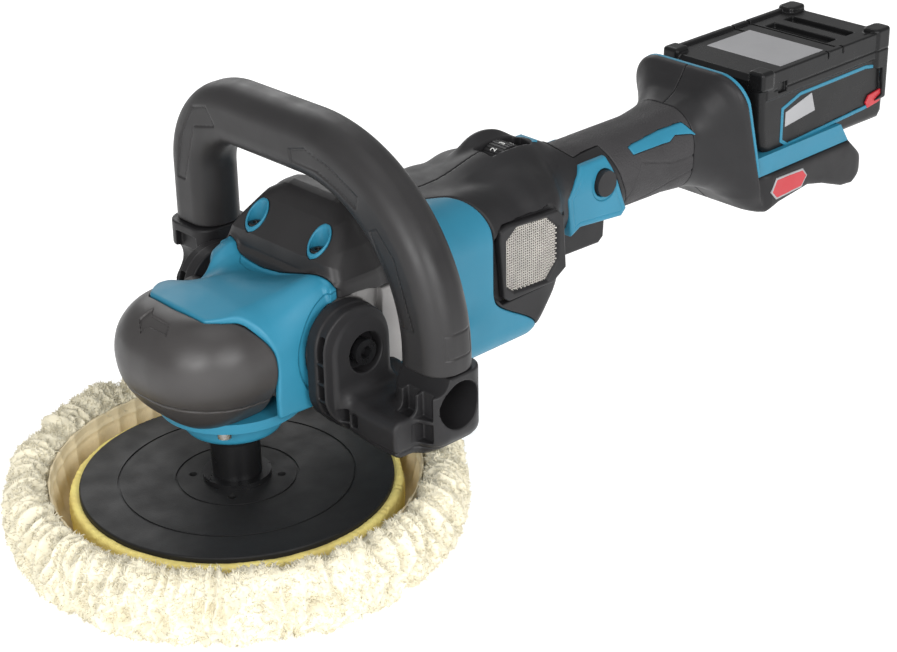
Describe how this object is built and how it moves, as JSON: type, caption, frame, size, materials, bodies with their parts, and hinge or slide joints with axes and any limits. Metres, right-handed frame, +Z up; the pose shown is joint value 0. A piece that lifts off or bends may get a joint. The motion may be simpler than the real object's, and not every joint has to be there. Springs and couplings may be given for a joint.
{
  "type": "rotary polisher",
  "caption": "Cordless rotary polisher with a wool bonnet on a foam backing pad, a loop handle, a paddle trigger grip and a slide-on battery.",
  "frame": {"origin": "on the spindle axis, at the wool bonnet's bottom face", "axes": "+Z up along the spindle, away from the work; +X along the tool towards the battery; -Y the tool's left side"},
  "size_m": [0.5965, 0.231, 0.2125],
  "materials": {
    "blue_plastic": "satin moulded, fine texture",
    "black_plastic": "fine spark-eroded texture",
    "black_rubber": "matt soft overmould",
    "gloss_black": "semi-gloss moulded",
    "battery_black": "satin moulded",
    "circuit_black": "potted",
    "cast_aluminium": "die-cast, machined face",
    "steel": "ground",
    "black_steel": "black oxide",
    "copper_steel": "laminations and windings",
    "steel_mesh": "woven wire",
    "brass": "plain",
    "yellow_foam": "cut open-cell foam",
    "wool": "tufted lambswool pile"
  },
  "bodies": {
    "root": {"gear_housing": "cast_aluminium", "bearing_box": "blue_plastic", "bearing_box_screws": "steel", "head_cover": "blue_plastic", "nose_bumper": "black_rubber", "collar": "black_plastic", "screw_sleeves": "blue_plastic", "collar_screws": "steel", "motor_housing": "blue_plastic", "handle_left": "black_plastic", "handle_right": "black_plastic", "grip_sleeve": "black_rubber", "case_screws": "steel", "mesh_frame_left": "black_plastic", "mesh_frame_right": "black_plastic", "mesh_left": "steel_mesh", "mesh_right": "steel_mesh", "side_plate_left": "blue_plastic", "side_plate_right": "blue_plastic", "dial_inserts": "blue_plastic", "dial_encoder": "circuit_black", "controller": "circuit_black", "switch_body": "circuit_black", "trigger_pin": "steel", "battery_rails": "blue_plastic", "rail_trim": "blue_plastic", "terminal_block": "circuit_black", "terminals": "brass", "stator": "copper_steel", "spindle_bearing": "steel", "spindle_top_bearing": "steel", "countershaft_bearing": "steel", "countershaft_rear_bearing": "steel", "rotor_front_bearing": "steel", "rotor_rear_bearing": "steel", "handle_bolts": "black_steel", "handle_washers": "steel"},
    "spindle": {"spindle": "steel", "lock_ring": "steel", "bevel_gear": "steel", "hub": "black_steel", "backing_plate": "gloss_black", "foam_pad": "yellow_foam", "wool_bonnet": "wool"},
    "countershaft": {"countershaft": "steel", "bevel_pinion": "steel", "driven_gear": "steel"},
    "rotor": {"rotor_shaft": "steel", "rotor_core": "steel", "fan": "black_plastic"},
    "shaft_lock": {"shaft_lock": "black_plastic"},
    "trigger": {"trigger": "black_plastic"},
    "lock_button": {"lock_button": "black_plastic"},
    "speed_dial": {"speed_dial": "black_plastic"},
    "loop_handle": {"loop_frame": "black_plastic", "loop_grip": "black_rubber"},
    "battery": {"battery_base": "battery_black", "battery_case": "battery_black", "cells": "circuit_black"},
    "battery_button": {"battery_button": "battery_black"}
  },
  "joints": [
    {"name": "spindle_spin", "type": "hinge", "parent": "root", "child": "spindle", "pos_m": [0, 0, 0], "axis": [0, 0, 1], "continuous": true},
    {"name": "countershaft_spin", "type": "hinge", "parent": "root", "child": "countershaft", "pos_m": [0.05, 0, 0.1235], "axis": [1, 0, 0], "continuous": true},
    {"name": "rotor_spin", "type": "hinge", "parent": "root", "child": "rotor", "pos_m": [0.05, 0, 0.101], "axis": [1, 0, 0], "continuous": true},
    {"name": "shaft_lock_press", "type": "slide", "parent": "root", "child": "shaft_lock", "axis": [0, -1, 0], "range_m": [0, 0.0028], "stiffness_N_per_m": 300, "springref_m": -0.002},
    {"name": "trigger_pull", "type": "hinge", "parent": "root", "child": "trigger", "pos_m": [0.222, 0, 0.103], "axis": [0, -1, 0], "range_deg": [0, 8], "stiffness_Nm_per_rad": 0.6, "springref_deg": -17.19},
    {"name": "lock_button_press", "type": "slide", "parent": "root", "child": "lock_button", "axis": [0, 1, 0], "range_m": [0, 0.004], "stiffness_N_per_m": 250, "springref_m": -0.002},
    {"name": "speed_dial_turn", "type": "hinge", "parent": "root", "child": "speed_dial", "pos_m": [0.186, 0, 0.144], "axis": [0, 1, 0], "range_deg": [0, 240]},
    {"name": "loop_handle_tilt", "type": "hinge", "parent": "root", "child": "loop_handle", "pos_m": [0.038, 0, 0.107], "axis": [0, 1, 0], "range_deg": [-15, 15]},
    {"name": "battery_slide", "type": "slide", "parent": "root", "child": "battery", "axis": [1, 0, 0], "range_m": [0, 0.12]},
    {"name": "battery_button_press", "type": "slide", "parent": "battery", "child": "battery_button", "axis": [0, 0, 1], "range_m": [0, 0.004], "stiffness_N_per_m": 250, "springref_m": -0.002}
  ],
  "couplings": [
    {"joint": "countershaft_spin", "follows": "spindle_spin", "ratio": 3},
    {"joint": "rotor_spin", "follows": "spindle_spin", "ratio": -7.8}
  ]
}
